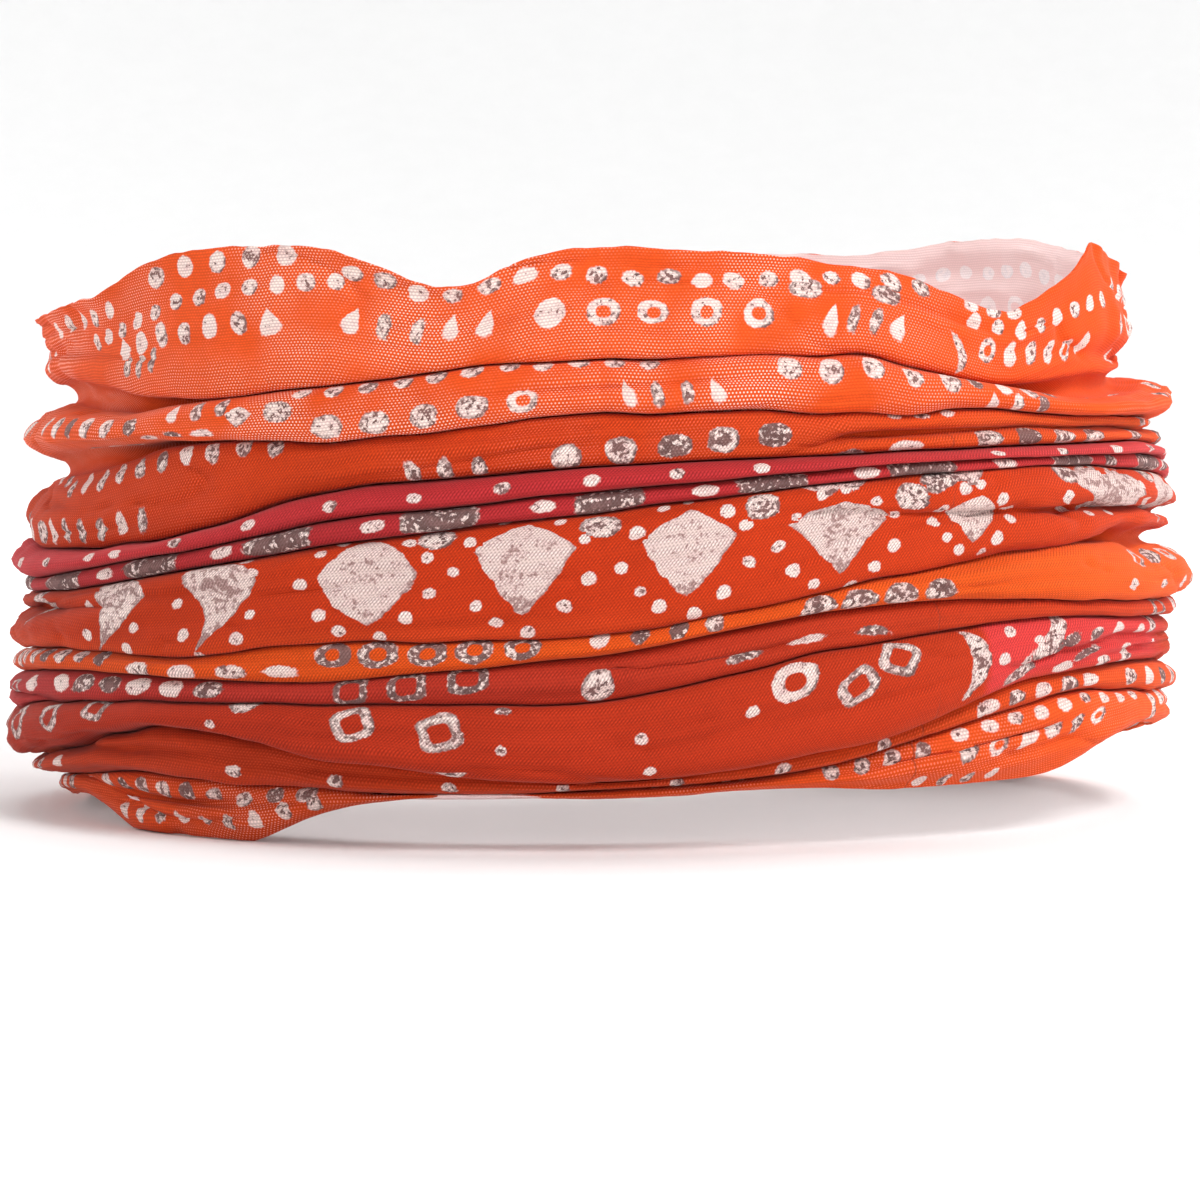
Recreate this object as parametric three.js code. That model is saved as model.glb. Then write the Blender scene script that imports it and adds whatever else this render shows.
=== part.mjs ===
// Neck gaiter: a printed knit tube gathered into a short oval collar.
//
// One sheet of cloth runs from the top edge to the bottom edge in eleven folds. Each fold is a
// closed ring here, so that the gather can open fold by fold. Millimetres, +Z up, the front is -Y,
// +X is the wearer's left, and the origin is under the middle of the oval, on the surface below.

import * as THREE from "three";

const HALF_WIDTH = 95; // widest fold, from the middle to the side
const HALF_DEPTH = 73; // widest fold, from the middle to the front
const GATHER_DEPTH = 17; // how far in from the widest fold the gathered cloth reaches
const INNER_BULGE = 1; // rounded inner end of a fold
const GROOVE = 4.5; // how far the line between two folds lies behind their crests
const SHOULDER = 0.9; // how far the face of a fold has curved back near its top and bottom
const GAP = 0.4; // air between neighbouring folds
const STEPS_ROUND = 48; // facets round each ring
const LATHE_RADIUS = 40; // radius that the ring is turned at before it is laid round the oval

// Heights of the lines between the folds, at equal steps round the oval. The first value is at the
// middle of the front and the fifth at the +X side, the ninth at the back, the thirteenth at -X.
const FOLD_LINES = [
  [88, 85.5, 82, 87, 85, 90, 93, 92, 88, 82, 79, 76, 74, 78, 87, 87.5],
  [72, 72, 68, 68.5, 71, 70.5, 72, 73, 70, 66, 64, 65, 66, 66.5, 65, 68],
  [64, 64, 63.5, 63, 62, 62, 63, 64, 62, 59, 56, 54, 54.5, 57, 59, 60],
  [56, 57.5, 58.3, 58.7, 57.5, 56, 55, 55, 54, 51, 48, 45, 43.5, 42.5, 45.5, 53],
  [52.5, 55.7, 56.5, 56.2, 54.7, 51.5, 50, 50, 49.5, 46.5, 42.5, 39, 37.5, 38.5, 42.5, 48.5],
  [49.5, 53.8, 54.8, 53.5, 51.5, 48, 46, 46, 46, 43, 39, 36.5, 35, 36, 39.5, 45.5],
  [32.5, 38.5, 43, 44.5, 43, 39, 36, 34, 34, 32, 29, 26.5, 25.5, 27.5, 28, 30.5],
  [29.5, 35, 36, 34.5, 34, 31, 29, 27.5, 28, 26.5, 24.5, 23, 22.5, 24, 25, 25.5],
  [22.5, 30, 33, 32, 31, 27.5, 25, 23, 23, 22, 20, 18, 16.5, 19, 21, 21.5],
  [13, 15, 23.5, 25, 23, 19, 16, 14, 14, 14, 13, 10, 8.5, 11, 16.5, 16],
  [10.5, 12, 20, 20.5, 18, 13, 8, 6.5, 7, 7.5, 7, 5.5, 5, 7.5, 9.5, 9],
  [8, 9, 8.5, 15, 13, 7, -4, -2, -2, -2, -2, -1, 2, 4, -2, 6.5],
];

// The folds from the top down: name, how far the crest lies inside the widest fold, and colour.
const FOLDS = [
  { name: "top_panel", inset: 4.5, colour: "#e8532a" },
  { name: "dotted_fold", inset: 3, colour: "#e04f25" },
  { name: "plain_fold", inset: 3.5, colour: "#cf421f" },
  { name: "crimson_roll", inset: 1.5, colour: "#b2304a" },
  { name: "patch_fold", inset: 2.5, colour: "#ab2b44" },
  { name: "diamond_fold", inset: 1, colour: "#c93c22" },
  { name: "ring_fold", inset: 0, colour: "#e25722" },
  { name: "crimson_fold", inset: 0.5, colour: "#b83040" },
  { name: "square_fold", inset: 1, colour: "#c53a24" },
  { name: "lower_fold", inset: 2, colour: "#d4481f" },
  { name: "bottom_fold", inset: 3.5, colour: "#dd4f26" },
];

// Outer face of a gathered fold, from its bottom up: [depth behind the crest, share of height].
const FOLD_FACE = [[GROOVE, 0], [SHOULDER, 0.2], [0, 0.5], [SHOULDER, 0.8], [GROOVE, 1]];

// Inner face of a gathered fold, from its top down: [depth behind the widest fold, share].
const FOLD_INSIDE = [[GATHER_DEPTH, 1], [GATHER_DEPTH + INNER_BULGE, 0.5], [GATHER_DEPTH, 0]];

// The top panel is gathered only at its foot, and thins to a free edge that leans inwards.
const TOP_FACE = [[GROOVE, 0], [SHOULDER, 0.2], [0, 0.5], [1.5, 1]];
const TOP_INSIDE = [[10, 1], [12, 0.5], [GATHER_DEPTH, 0.3], [GATHER_DEPTH, 0]];

// Height of a fold line at an angle from the middle of the front, by a closed Catmull-Rom curve.
function lineHeight(heights, angle) {
  const count = heights.length;
  const place = (((angle / (2 * Math.PI)) * count) % count + count) % count;
  const start = Math.floor(place);
  const t = place - start;
  const [before, from, to, after] = [-1, 0, 1, 2].map((k) => heights[(start + k + count) % count]);
  const slopeFrom = (to - before) / 2;
  const slopeTo = (after - from) / 2;
  const rise = to - from;
  const curve = from + t * (slopeFrom + t * (3 * rise - 2 * slopeFrom - slopeTo
    + t * (slopeFrom + slopeTo - 2 * rise)));
  return Math.max(curve, 0);
}

// A ring with the given section, turned on a lathe and then laid round the oval between two lines.
function foldGeometry(section, topLine, bottomLine, topGap, bottomGap) {
  const outline = [...section, section[0]].map(
    ([depth, share]) => new THREE.Vector2(LATHE_RADIUS - depth, share),
  );
  const ring = new THREE.LatheGeometry(outline, STEPS_ROUND);
  const places = ring.attributes.position;
  for (let i = 0; i < places.count; i += 1) {
    const [x, share, z] = [places.getX(i), places.getY(i), places.getZ(i)];
    const angle = Math.atan2(x, z);
    const depth = LATHE_RADIUS - Math.hypot(x, z);
    const top = lineHeight(topLine, angle) - topGap;
    const bottom = lineHeight(bottomLine, angle) + bottomGap;
    places.setXYZ(
      i,
      (HALF_WIDTH - depth) * Math.sin(angle),
      -(HALF_DEPTH - depth) * Math.cos(angle),
      THREE.MathUtils.lerp(bottom, top, share),
    );
  }
  ring.computeVertexNormals();
  return ring;
}

// A knit cloth material of the given colour.
function knit(colour) {
  return new THREE.MeshStandardMaterial({ color: colour, roughness: 0.9, metalness: 0 });
}

const gaiter = new THREE.Group();
gaiter.name = "neck_gaiter";

FOLDS.forEach(({ name, inset, colour }, index) => {
  const isTop = index === 0;
  const isBottom = index === FOLDS.length - 1;
  const face = (isTop ? TOP_FACE : FOLD_FACE).map(([depth, share]) => [inset + depth, share]);
  const geometry = foldGeometry(
    [...face, ...(isTop ? TOP_INSIDE : FOLD_INSIDE)],
    FOLD_LINES[index],
    FOLD_LINES[index + 1],
    isTop ? 0 : GAP / 2,
    isBottom ? 0 : GAP / 2,
  );
  const fold = new THREE.Mesh(geometry, knit(colour));
  fold.name = name;
  gaiter.add(fold);
});

export default gaiter;
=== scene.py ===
"""Neck gaiter: one printed knit tube, gathered into an oval collar, drawn as a single pleated cloth.

The cloth is a grid of columns round the oval and rows from the top edge to the bottom edge. Each
fold shows a rounded face, and between two faces a web of cloth runs in towards the neck and out
again. Lengths are in millimetres up to the meshes, which are in metres. Where a list has four values
round the oval, they are for the middle of the front, the +X side, the back and the -X side.
"""

import math

import bpy
import numpy as np
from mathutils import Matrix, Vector


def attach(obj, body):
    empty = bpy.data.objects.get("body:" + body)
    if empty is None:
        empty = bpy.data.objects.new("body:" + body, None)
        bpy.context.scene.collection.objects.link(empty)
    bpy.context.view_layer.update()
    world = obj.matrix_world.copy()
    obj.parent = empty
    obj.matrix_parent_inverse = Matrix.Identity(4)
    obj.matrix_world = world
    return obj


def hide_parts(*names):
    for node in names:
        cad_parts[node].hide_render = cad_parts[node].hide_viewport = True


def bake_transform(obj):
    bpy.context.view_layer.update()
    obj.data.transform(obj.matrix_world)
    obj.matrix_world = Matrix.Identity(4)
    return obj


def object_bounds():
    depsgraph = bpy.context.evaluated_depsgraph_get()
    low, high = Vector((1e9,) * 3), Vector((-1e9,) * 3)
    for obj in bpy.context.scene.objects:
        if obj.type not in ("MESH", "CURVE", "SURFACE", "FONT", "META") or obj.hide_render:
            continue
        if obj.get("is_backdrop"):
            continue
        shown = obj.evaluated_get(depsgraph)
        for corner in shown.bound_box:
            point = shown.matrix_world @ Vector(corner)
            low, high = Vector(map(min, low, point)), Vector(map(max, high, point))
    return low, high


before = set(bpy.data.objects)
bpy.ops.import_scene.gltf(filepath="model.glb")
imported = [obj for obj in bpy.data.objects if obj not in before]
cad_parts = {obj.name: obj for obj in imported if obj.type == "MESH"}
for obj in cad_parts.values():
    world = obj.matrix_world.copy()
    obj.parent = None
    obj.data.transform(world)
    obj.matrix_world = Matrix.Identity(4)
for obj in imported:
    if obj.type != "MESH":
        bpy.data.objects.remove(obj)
cad_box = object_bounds()

MM = 0.001
FULL_TURN = 2 * math.pi

# ---------------------------------------------------------------- sizes

HALF_WIDTH = (cad_box[1][0] - cad_box[0][0]) / 2 / MM
HALF_DEPTH = (cad_box[1][1] - cad_box[0][1]) / 2 / MM
CLOTH = 0.4  # thickness of the knit
LIP = 0.3  # half the distance between the two layers where they enter a groove
COLUMNS = 600
ROW_STEP = 0.8  # target distance between rows on the faces
WEB_ROWS = 20
WEB_KEPT = 4  # rows at each end of a web that stay with the fold beside them
WEB_REACH = 19.5  # how far behind the widest fold the webs run in
MEAN_INSET = 8.0  # depth of the mean loop that arc lengths are measured on
SAG_LINE = 6.5  # depth at which the cloth doesn't sag
EDGE_TUCK = 2.5  # how far the bottom edge lies behind the crest above it
FLOOR_CLEARANCE = 0.25

# Heights of the lines between the folds, near the rings of the CAD model: equal steps round the
# oval from the middle of the front, by way of +X, the back and -X.
FOLD_LINES = [
    [88, 85.5, 82, 87, 85, 90, 93, 92, 88, 82, 79, 77, 77.5, 79.5, 87, 87.5],
    [72, 72, 68, 68.5, 71, 70.5, 72, 73, 70, 66, 64, 65, 66, 66.5, 65, 68],
    [64, 64, 63.5, 63, 62, 62, 63, 64, 62, 59, 56, 54, 53.6, 55.2, 58.6, 60],
    [56, 57.5, 58.8, 59, 57.5, 56, 55, 55, 54, 51, 48, 45, 43.5, 42.5, 45.5, 53],
    [52.5, 55.7, 57.2, 57, 54.7, 51.5, 50, 50, 49.5, 46.5, 42.5, 39, 37.5, 38.5, 42.5, 48.5],
    [49.5, 53.8, 55.8, 54.8, 52, 48, 46, 46, 46, 43, 39, 36.5, 35, 36, 39.5, 45.5],
    [32.5, 38.5, 43, 44.5, 43, 39, 36, 34, 34, 32, 29, 26.5, 25.5, 27.5, 28, 30.5],
    [29.5, 35, 36, 34.5, 34, 31, 29, 27.5, 28, 26.5, 24.5, 23, 22.5, 24, 25, 25.5],
    [22.5, 30, 33, 32, 31, 27.5, 25, 23, 23, 22, 20, 18, 16.5, 19, 21, 21.5],
    [10.2, 15, 23.5, 25, 23, 19, 16, 14, 14, 14, 13, 10, 8.5, 11, 16.5, 13],
    [9.2, 12, 20, 20.5, 18, 13, 8, 6.5, 7, 7.5, 7, 5.5, 5, 7.5, 9.5, 8.3],
    [8.2, 9, 8.5, 15, 13, 7, -4, -2, -2, -2, -2, -1, 2, 4, -2, 7.2],
]

# Local rises of the free top edge: (angle in degrees, half width in degrees, rise).
TOP_RISES = [(-14, 8, -6.0), (-27, 5, 1.0), (44, 8, -3.5), (64, 5, 3.0), (-56, 7, -2.0), (150, 14, -2.5),
             (205, 10, 2.0)]

TOP_EDGE_DEPTH = [5.0, 11.5, 5.5, 6.3]  # behind the widest fold
GROOVE_DEPTHS = [  # how far each groove lies behind the two crests beside it
    [2.2, 5.0, 3.0, 4.4],
    [2.0, 4.5, 3.0, 4.8],
    [2.6, 3.0, 3.0, 3.4],
    [2.0, 1.6, 2.0, 1.9],
    [2.5, 2.4, 2.5, 2.6],
    [1.9, 5.0, 3.0, 2.3],
    [2.0, 3.0, 2.6, 2.3],
    [1.7, 2.8, 2.6, 2.2],
    [3.4, 3.0, 3.2, 5.0],
    [2.6, 3.0, 3.0, 3.2],
]

# Grooves that open into a shallow valley at the ends of the oval, so that the cloth runs on from one
# fold to the next: angles, share of opening at those angles, and how much wider than a closed groove.
VALLEYS = {
    0: ([-128, -105, -62, -36, 40, 60, 100, 122], [0, 1, 1, 0, 0, 1, 1, 0], 1.8),
    1: ([-128, -105, -62, -38], [0, 1, 1, 0], 1.7),
    5: ([50, 66, 104, 126], [0, 1, 1, 0], 1.3),
}
VALLEY_DEPTH = 2.2  # behind the groove's line
VALLEY_SOFTNESS = 1.35  # how straight a face runs down into a valley


def fold_of(name, slot, crest, dye_and_side_light, grin=(0, 0, 0, 0), lean=0.7, crown=(0.44,) * 4):
    """One fold: its depth behind the widest, dye with painted light on it (each side painted lighter
    or darker as the light falls there, lightest at +X), how far the white ground grins through,
    slant of the stitches, and how far up its face the crest lies."""
    return dict(name=name, slot=slot, crest=crest, dye_and_side_light=dye_and_side_light.split(), grin=grin, lean=lean, crown=crown)


# The four dye colours of a fold are its print colour with painted light on it: each side is painted lighter
# or darker as the light falls there, lightest at the +X side.
FOLDS = [
    fold_of("top_panel", "orange_print", [4, 10, 4.5, 7], "#ee6830 #ee6226 #ec6a34 #e6683a",
            grin=[1, .08, .1, .3, .5, .4, .2, .65], lean=0, crown=[.27, .3, .3, .22]),
    fold_of("dotted_fold", "orange_print", [3, 3.9, 3.5, 2.8], "#ea642e #f2682c #ea6432 #e46636",
            grin=[.9, .2, .1, .3, .5, .4, .2, .6], lean=0, crown=[.33, .74, .4, .38]),
    fold_of("plain_fold", "rust_print", [3.5, 5, 3.6, 3.6], "#d04e22 #ee6c36 #d0502a #cc502a",
            grin=[.08, 0, .1, 0], crown=[.38, .5, .42, .34]),
    fold_of("crimson_roll", "crimson_print", [1.8, 3.9, 2.2, 1], "#bb3a4a #e0586a #bc3c50 #cc4c60"),
    fold_of("patch_fold", "crimson_print", [2.6, 4.4, 3, 2.5], "#b63848 #da5060 #b63a4c #bc4254"),
    fold_of("diamond_fold", "rust_print", [1.2, 3.2, 1.5, .8], "#c6441e #dc542c #c84824 #bc4424"),
    fold_of("ring_fold", "orange_print", [1.5, 0, 1.5, .8], "#e06324 #fc7636 #e06426 #da5e2b"),
    fold_of("crimson_fold", "crimson_print", [2, 2.5, 1.6, 0], "#b84030 #dc5430 #b83e48 #b8404e"),
    fold_of("square_fold", "rust_print", [1, 3.5, 1.2, 0], "#bc4026 #cc4c28 #bc4028 #ac3a2a"),
    fold_of("lower_fold", "orange_print", [6.5, 4.5, 3, 2.6, 2.2, 2.6, 3.6, 4.6],
            "#c84c26 #ee6830 #d25428 #c04a2a", grin=[.04, 0, .1, 0], lean=.5),
    fold_of("bottom_fold", "orange_print", [8.5, 5, 3.2, 3.2, 3.2, 4.5, 8.5, 8],
            "#da5a2a #fa7034 #de5e2c #da5c32", grin=[.3, 0, .2, .05], lean=.2),
]
NAMES = [fold["name"] for fold in FOLDS]
TOP, BOTTOM = 0, len(FOLDS) - 1

# Smaller creases inside a fold: angles and heights along each, depth at those angles, width.
PINCHES = {
    "top_panel": [
        ([38, 60, 82, 105], [73, 72.6, 72.2, 72.5], [0, 1.2, 4.2, 0], 1.6),
        ([-104, -88, -74, -60], [72, 73.5, 73, 76], [0, 1.2, .9, 0], 1.5),
        ([120, 150, 180, 215], [80, 82, 79, 76], [0, .8, .9, 0], 1.8),
    ],
    "plain_fold": [
        ([16, 24, 46, 70, 92, 112], [57.2, 60.4, 61.4, 61, 60.4, 59.6], [0, 2.6, 3.2, 5.5, 6, 0], .7),
        ([-30, -14, 0, 14], [57.5, 60.2, 61.6, 61.6], [0, .35, .3, 0], .8),
    ],
    "diamond_fold": [
        ([10, 22, 45, 70, 95, 120], [49.5, 49.8, 49.2, 48.6, 46.5, 44], [0, 1.6, 3.6, 5.4, 3.2, 0], .9),
        ([8, 20, 32, 44], [50.6, 51.8, 51.6, 50.8], [0, .7, .7, 0], .5),
        ([52, 64, 80, 100], [46.6, 46, 45, 43], [0, 1.2, 1.6, 0], .6),
        ([-112, -90, -72, -62, -48], [32, 31.8, 33, 33.6, 35], [0, 3.6, 5.4, 3.6, 0], 1.1),
        ([-40, -20, 5, 20], [31.5, 33.2, 35.6, 40], [0, .5, .5, 0], 1),
        ([-2, 12, 26, 40], [45.5, 47.3, 48, 48.3], [0, .8, .5, 0], .8),
        ([140, 165, 195, 230], [41, 40.5, 40, 35], [0, 1.2, 1, 0], .9),
    ],
    "ring_fold": [
        ([27, 36, 48, 62], [37.6, 38.7, 39, 38.6], [0, 1, .8, 0], .6),
    ],
    "crimson_fold": [
        ([-112, -90, -72, -55], [19.3, 19.5, 19.8, 20.2], [0, 2.2, 2, 0], .5),
        ([-4, 4, 16, 26], [27.2, 27.3, 30.6, 32.6], [0, 1.6, 1.3, 0], .6),
    ],
    "square_fold": [
        ([36, 46, 60, 78, 96], [25.6, 27.6, 29.4, 28.8, 27], [0, 1.7, 2, 1.6, 0], .6),
        ([40, 52, 66, 84], [24.6, 26.2, 27.4, 26.4], [0, 1.2, 1.4, 0], .5),
        ([-82, -62, -44, -28], [13.2, 15, 16.6, 16.8], [0, .9, .8, 0], .9),
        ([130, 165, 200, 240], [19, 18.5, 18.6, 15], [0, 1, 1.2, 0], .8),
    ],
    "lower_fold": [
        ([-84, -66, -50, -34], [10.2, 12, 13.4, 14], [0, 2.2, 1.8, 0], .8),
    ],
    "bottom_fold": [
        ([18, 30, 44, 60], [9.9, 12.2, 15.6, 18.6], [0, .9, 1.3, 0], .7),
        ([30, 44, 60, 76], [10.4, 13, 16.6, 17.5], [0, .6, .7, 0], .7),
        ([-74, -58, -44, -30], [7.8, 6.3, 6, 7.4], [0, 2.2, 2.4, 0], .7),
        ([-66, -54, -42, -32], [6, 4, 3.2, 5], [0, 1.6, 1.8, 0], .6),
    ],
}


# ---------------------------------------------------------------- curves round the oval

angles = np.arange(COLUMNS) / COLUMNS * FULL_TURN
degrees = (np.degrees(angles) + 180) % 360 - 180  # 0 at the front, -180 to 180


def closed_curve(values):
    """Closed Catmull-Rom curve through values at equal steps round the oval, at each column."""
    values = np.asarray(values, float)
    count = len(values)
    place = angles / FULL_TURN * count
    start = np.floor(place).astype(int)
    t = place - start
    before, first, second, after = (values[(start + k) % count] for k in (-1, 0, 1, 2))
    slope_1, slope_2, rise = (second - before) / 2, (after - first) / 2, second - first
    return first + t * (slope_1 + t * (3 * rise - 2 * slope_1 - slope_2
                                       + t * (slope_1 + slope_2 - 2 * rise)))


def along(stops, values):
    """Values at stops in degrees, joined by straight lines and held beyond the ends, at each column."""
    shifted = np.where(degrees < stops[0] - 30, degrees + 360, degrees)
    return np.interp(shifted, stops, values)


def smooth_noise(seed, cells_round, cells_across, round_at, across_at):
    """Noise from -1 to 1 on a grid that closes round the oval, joined by smoothstep."""
    grid = np.random.RandomState(seed).uniform(-1, 1, (cells_across + 2, cells_round))
    x = np.mod(round_at, 1.0) * cells_round
    y = np.clip(across_at, 0, 1) * cells_across
    i, j = np.floor(x).astype(int), np.floor(y).astype(int)
    fx, fy = x - i, y - j
    fx, fy = fx * fx * (3 - 2 * fx), fy * fy * (3 - 2 * fy)
    i, beside = i % cells_round, (i + 1) % cells_round
    upper = grid[j, i] * (1 - fx) + grid[j, beside] * fx
    lower = grid[j + 1, i] * (1 - fx) + grid[j + 1, beside] * fx
    return upper * (1 - fy) + lower * fy


def ring_noise(seed, cells):
    """Noise that varies only round the oval."""
    return smooth_noise(seed, cells, 1, angles / FULL_TURN, np.zeros(COLUMNS))


def fold_lines():
    """Heights of the twelve lines at each column, with small irregularities, never crossing."""
    lines = np.array([closed_curve(row) for row in FOLD_LINES])
    for centre, half_width, rise in TOP_RISES:
        away = (degrees - centre + 180) % 360 - 180
        lines[TOP] += rise * np.exp(-(away / half_width) ** 2)
    lines[TOP] += 0.35 * ring_noise(11, 60) + 0.15 * ring_noise(12, 150) + 0.10 * ring_noise(13, 290)
    room = np.minimum(lines[:-2] - lines[1:-1], lines[1:-1] - lines[2:])
    for k in range(1, len(lines) - 1):
        wander = ring_noise(20 + k, 26) + 0.6 * ring_noise(50 + k, 70)
        lines[k] += np.clip(0.11 * room[k - 1], 0, 0.7) * wander
    lines[-1] = np.maximum(lines[-1] + 0.25 * ring_noise(90, 50), FLOOR_CLEARANCE)
    return lines


lines = fold_lines()
crests = np.array([closed_curve(fold["crest"]) for fold in FOLDS])
for k, crest in enumerate(crests):
    crest += 0.7 * ring_noise(100 + k, 12) + 0.35 * ring_noise(130 + k, 34)
grooves = (crests[:-1] + crests[1:]) / 2 + np.array([closed_curve(row) for row in GROOVE_DEPTHS])
side = np.exp(-((np.abs(degrees) - 88) / 22) ** 2)  # 1 at the two ends of the oval


def opening_of(k):
    """How far groove k is open, from 0 to 1, and half the distance between its two layers."""
    if k not in range(TOP, BOTTOM):  # the free edges have no groove
        return np.zeros(COLUMNS), np.zeros(COLUMNS)
    if k not in VALLEYS:
        return np.zeros(COLUMNS), np.full(COLUMNS, LIP)
    stops, shares, wider = VALLEYS[k]
    share = along(stops, shares)
    share = share * share * (3 - 2 * share)
    return share, LIP + wider * share


def droop(depth):
    """How the cloth sags outside and inside the sag line."""
    away = depth - SAG_LINE
    return -0.13 * (np.sqrt(away * away + 3.0) - math.sqrt(3.0))


# ---------------------------------------------------------------- the cloth's section

FINE = 181  # points of a face's curve before it is divided evenly
STRAY_COUNTS = {"top_panel": 11, "dotted_fold": 8, "plain_fold": 9, "diamond_fold": 12, "ring_fold": 6,
                "square_fold": 12, "lower_fold": 5, "bottom_fold": 8}


def stray_creases():
    """Short slanting creases scattered over the wider folds, deeper away from the front."""
    draw = np.random.RandomState(31)
    creases = {name: [] for name in NAMES}
    for k, name in enumerate(NAMES):
        for _ in range(STRAY_COUNTS.get(name, 0)):
            centre, half, slope = draw.uniform(-150, 210), draw.uniform(9, 25), draw.uniform(-0.3, 0.3)
            share = draw.uniform(0.3, 0.7)
            deep = draw.uniform(0.4, 1.0) * (1.5 if abs(centre) > 70 else 0.7)
            steps = (-1, -0.4, 0.4, 1)
            stops = [centre + half * t for t in steps]
            columns = [int(stop / 360 * COLUMNS) % COLUMNS for stop in stops]
            heights = [lines[k + 1][c] + (share + slope * t) * (lines[k][c] - lines[k + 1][c])
                       for c, t in zip(columns, steps)]
            creases[name].append((stops, heights, [0, deep, deep, 0], draw.uniform(0.6, 1.3)))
    return creases


STRAY_CREASES = stray_creases()


def face_curve(k):
    """Depth and height of fold k's face, from its top to its bottom, at each column."""
    turn = np.linspace(math.pi / 2, -math.pi / 2, FINE)[:, None]
    rise, out = np.sin(turn), np.cos(turn)
    upper = rise > 0
    (above, top_lip), (below, bottom_lip) = opening_of(k - 1), opening_of(k)
    top, bottom = lines[k] - top_lip, lines[k + 1] + bottom_lip
    behind_top = grooves[k - 1] if k != TOP else closed_curve(TOP_EDGE_DEPTH)
    behind_bottom = grooves[k] if k != BOTTOM else crests[k] + EDGE_TUCK
    height = top - bottom
    middle = bottom + closed_curve(FOLDS[k]["crown"]) * height

    soft = 1 - 0.5 * np.clip((height - 3) / 8, 0, 1) * (1 - 0.85 * side)
    open_share = np.where(upper, above, below)
    soft = soft * (1 - open_share) + VALLEY_SOFTNESS * open_share
    behind, end = np.where(upper, behind_top, behind_bottom), np.where(upper, top, bottom)
    depth = behind + (crests[k] - behind) * np.clip(out, 0, 1) ** soft
    z = middle + (end - middle) * np.clip(np.abs(rise), 0, 1) ** soft
    if k == TOP:  # a free edge that stands up, and rolls outwards a little
        share = turn / (math.pi / 2)
        free = top - (1 - share) * (top - middle)
        lean = crests[k] + (behind_top - crests[k]) * np.clip(share, 0, 1) ** 1.6
        roll = 0.7 * np.exp(-((top - free) / 1.1) ** 2) * (1 + 0.5 * ring_noise(140, 30))
        depth, z = np.where(upper, lean - roll, depth), np.where(upper, free, z)
    if k == BOTTOM:  # a free edge that tucks under
        share = -turn / (math.pi / 2)
        free = middle + (bottom - middle) * share
        tuck = crests[k] + (behind_bottom - crests[k]) * np.clip(share, 0, 1) ** 2
        depth, z = np.where(upper, depth, tuck), np.where(upper, z, free)
    held = np.minimum(out * 2.2, 1)  # no crease at the lips
    for stops, heights, depths, width in PINCHES.get(NAMES[k], []) + STRAY_CREASES[NAMES[k]]:
        away = z - along(stops, heights) - 0.25 * ring_noise(150 + len(heights) + k, 40)
        sharp, shoulder = np.exp(-np.abs(away / width) ** 1.3), np.exp(-(away / (3.5 * width)) ** 2)
        depth = depth + held * along(stops, depths) * (sharp - 0.22 * shoulder)
    hanging = np.clip(0.3 - rise, 0, 1) if k == TOP else 1
    return depth, z + droop(depth) * hanging


def divide(depth, z, rows):
    """The same curve with rows equal steps along the cloth, and the length from its start."""
    step = np.hypot(np.diff(depth, axis=0), np.diff(z, axis=0))
    length = np.vstack([np.zeros((1, COLUMNS)), np.cumsum(step, axis=0)])
    even = np.empty((3, rows + 1, COLUMNS))
    for j in range(COLUMNS):
        at = np.linspace(0, length[-1, j], rows + 1)
        even[:, :, j] = (np.interp(at, length[:, j], depth[:, j]), np.interp(at, length[:, j], z[:, j]), at)
    return even


def web_curve(k):
    """Depth and height of the web between folds k and k + 1, in from the groove and out."""
    groove, line = grooves[k], lines[k + 1]
    room = np.minimum(lines[k] - line, line - lines[k + 2])
    open_share, lip = opening_of(k)
    closed = 1 - open_share
    reach = WEB_REACH - groove + 0.9 * ring_noise(160 + k, 20) + 0.5 * ring_noise(180 + k, 60)
    reach = reach * closed + VALLEY_DEPTH * open_share
    turn = np.linspace(0, math.pi, 81)[:, None]
    run_in = np.sin(turn) ** (0.75 + 0.5 * open_share)
    opening = lip + closed * np.clip(0.42 * room, 0.3, 2.6) * 1.6 * np.sin(turn) ** 2
    wander = closed * np.clip(0.2 * room, 0, 1.2) * ring_noise(200 + k, 24)
    depth = groove + reach * run_in
    z = line + np.cos(turn) * opening + wander * run_in
    return depth, z + droop(depth)


def build_section():
    """Every row of the cloth from the top edge to the bottom edge, and which rows are which part."""
    parts, spans, start = [], [], 0
    for k in range(len(FOLDS)):
        depth, z = face_curve(k)
        longest = np.hypot(np.diff(depth, axis=0), np.diff(z, axis=0)).sum(axis=0).max()
        parts.append(divide(depth, z, max(10, math.ceil(longest / ROW_STEP))))
        if k != BOTTOM:
            parts.append(divide(*web_curve(k), WEB_ROWS))
    rows, total = [], np.zeros(COLUMNS)
    for index, (depth, z, length) in enumerate(parts):
        rows.append(np.stack([depth, z, length + total])[:, (1 if index else 0):])
        total = total + length[-1]
        spans.append((start, start + len(length) - 1))
        start += len(length) - 1
    return np.concatenate(rows, axis=1), spans, total


(section_depth, section_z, down), spans, cloth_length = build_section()
faces, webs = spans[0::2], spans[1::2]


def blend_through(values, first, last):
    """Fills the rows of a web with a blend of its first and last row."""
    t = np.linspace(0, 1, last - first + 1).reshape((-1,) + (1,) * (values.ndim - 1))
    values[first:last + 1] = values[first] * (1 - t) + values[last] * t


def grain():
    """Length down the cloth as the print and the rows of stitches take it, which follow each fold."""
    v = np.empty_like(down)
    for first, last in faces:
        middle = (down[first] + down[last]) / 2
        v[first:last + 1] = down[first:last + 1] - middle + middle.mean()
    for web in webs:
        blend_through(v, *web)
    return v


grain_v = grain()


# ---------------------------------------------------------------- wrinkles

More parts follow.
